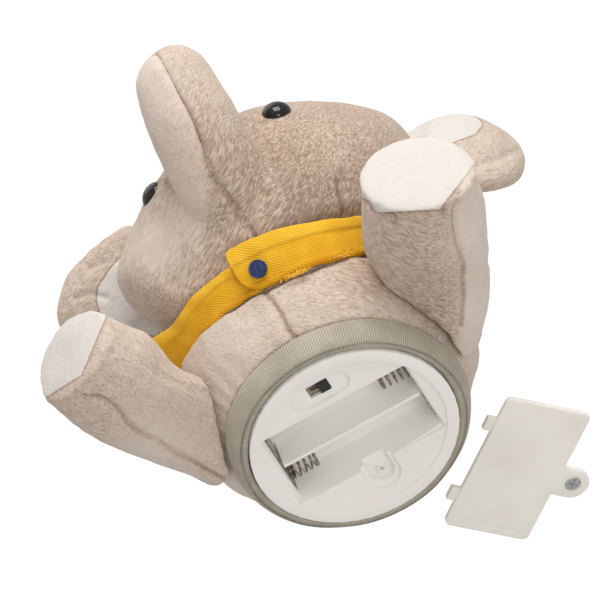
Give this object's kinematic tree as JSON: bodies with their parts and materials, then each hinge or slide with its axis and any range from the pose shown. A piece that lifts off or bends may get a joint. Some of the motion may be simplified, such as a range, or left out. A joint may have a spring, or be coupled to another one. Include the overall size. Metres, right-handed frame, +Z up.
{
  "type": "musical plush elephant",
  "caption": "Seated stuffed toy elephant with a collar and flapping ears, on a round battery-powered sound base whose screwed door lies removed beside it",
  "frame": {"origin": "on the floor under the middle of the bounding box, door included; the base rim stands on Z = 0", "axes": "+Z up, -Y the elephant's front, +X the elephant's left"},
  "size_m": [0.1918, 0.1988, 0.1466],
  "materials": {
    "plush": "short pile plush",
    "white_plush": "short pile plush",
    "knit": "ribbed knit",
    "twill": "twill weave",
    "base_plastic": "satin",
    "door_plastic": "satin",
    "housing_plastic": "satin",
    "eye_plastic": "polished",
    "washer_plastic": "satin",
    "black_plastic": "satin",
    "board": "lacquered",
    "cone_paper": "matte",
    "wire_plastic": "satin",
    "navy_enamel": "enamelled",
    "steel": "zinc plated",
    "nickel": "nickel plated",
    "magnet": "matte"
  },
  "bodies": {
    "toy": {"base_plate": "base_plastic", "inner_housing": "housing_plastic", "housing_screw_1": "steel", "housing_screw_2": "steel", "housing_screw_3": "steel", "housing_screw_4": "steel", "circuit_board": "board", "board_screw_1": "steel", "board_screw_2": "steel", "sound_chip": "black_plastic", "capacitor": "black_plastic", "speaker_basket": "steel", "speaker_cone": "cone_paper", "speaker_magnet": "magnet", "bridge_contact": "nickel", "front_contact": "nickel", "rear_contact": "nickel", "front_battery_spring": "nickel", "rear_battery_spring": "nickel", "switch_body": "steel", "front_battery_wire": "wire_plastic", "rear_battery_wire": "wire_plastic", "switch_wire_1": "wire_plastic", "switch_wire_2": "wire_plastic", "speaker_wire_1": "wire_plastic", "speaker_wire_2": "wire_plastic", "knit_ring": "knit", "body": "plush", "head": "plush", "trunk": "plush", "left_eye": "eye_plastic", "right_eye": "eye_plastic", "left_eye_washer": "washer_plastic", "right_eye_washer": "washer_plastic", "left_leg": "plush", "right_leg": "plush", "left_sole": "white_plush", "right_sole": "white_plush", "collar": "twill", "snap_cap": "navy_enamel"},
    "knob": {"switch_knob": "black_plastic"},
    "door": {"battery_door": "door_plastic"},
    "screw": {"door_screw": "steel"},
    "left_ear_body": {"left_ear": "plush", "left_ear_lining": "white_plush"},
    "right_ear_body": {"right_ear": "plush", "right_ear_lining": "white_plush"}
  },
  "joints": [
    {"name": "switch_slide", "type": "slide", "parent": "toy", "child": "knob", "axis": [-1, 0, 0], "range_m": [0, 0.004]},
    {"name": "door_slide", "type": "slide", "parent": "toy", "child": "door", "axis": [0.6502, 0.7598, 0], "range_m": [0, 0.05]},
    {"name": "door_screw_turn", "type": "hinge", "parent": "door", "child": "screw", "pos_m": [0.05701, 0.08667, 0], "axis": [0, 0, 1], "continuous": true},
    {"name": "left_ear_flap", "type": "hinge", "parent": "toy", "child": "left_ear_body", "pos_m": [0.05927, 0.00114, 0.11177], "axis": [0.074, 0.2479, 0.9659], "range_deg": [-10.8, 10.8], "stiffness_Nm_per_rad": 0.1},
    {"name": "right_ear_flap", "type": "hinge", "parent": "toy", "child": "right_ear_body", "pos_m": [-0.04827, 0.00638, 0.11627], "axis": [0.4376, -0.5861, 0.6819], "range_deg": [-10.8, 10.8], "stiffness_Nm_per_rad": 0.1}
  ]
}
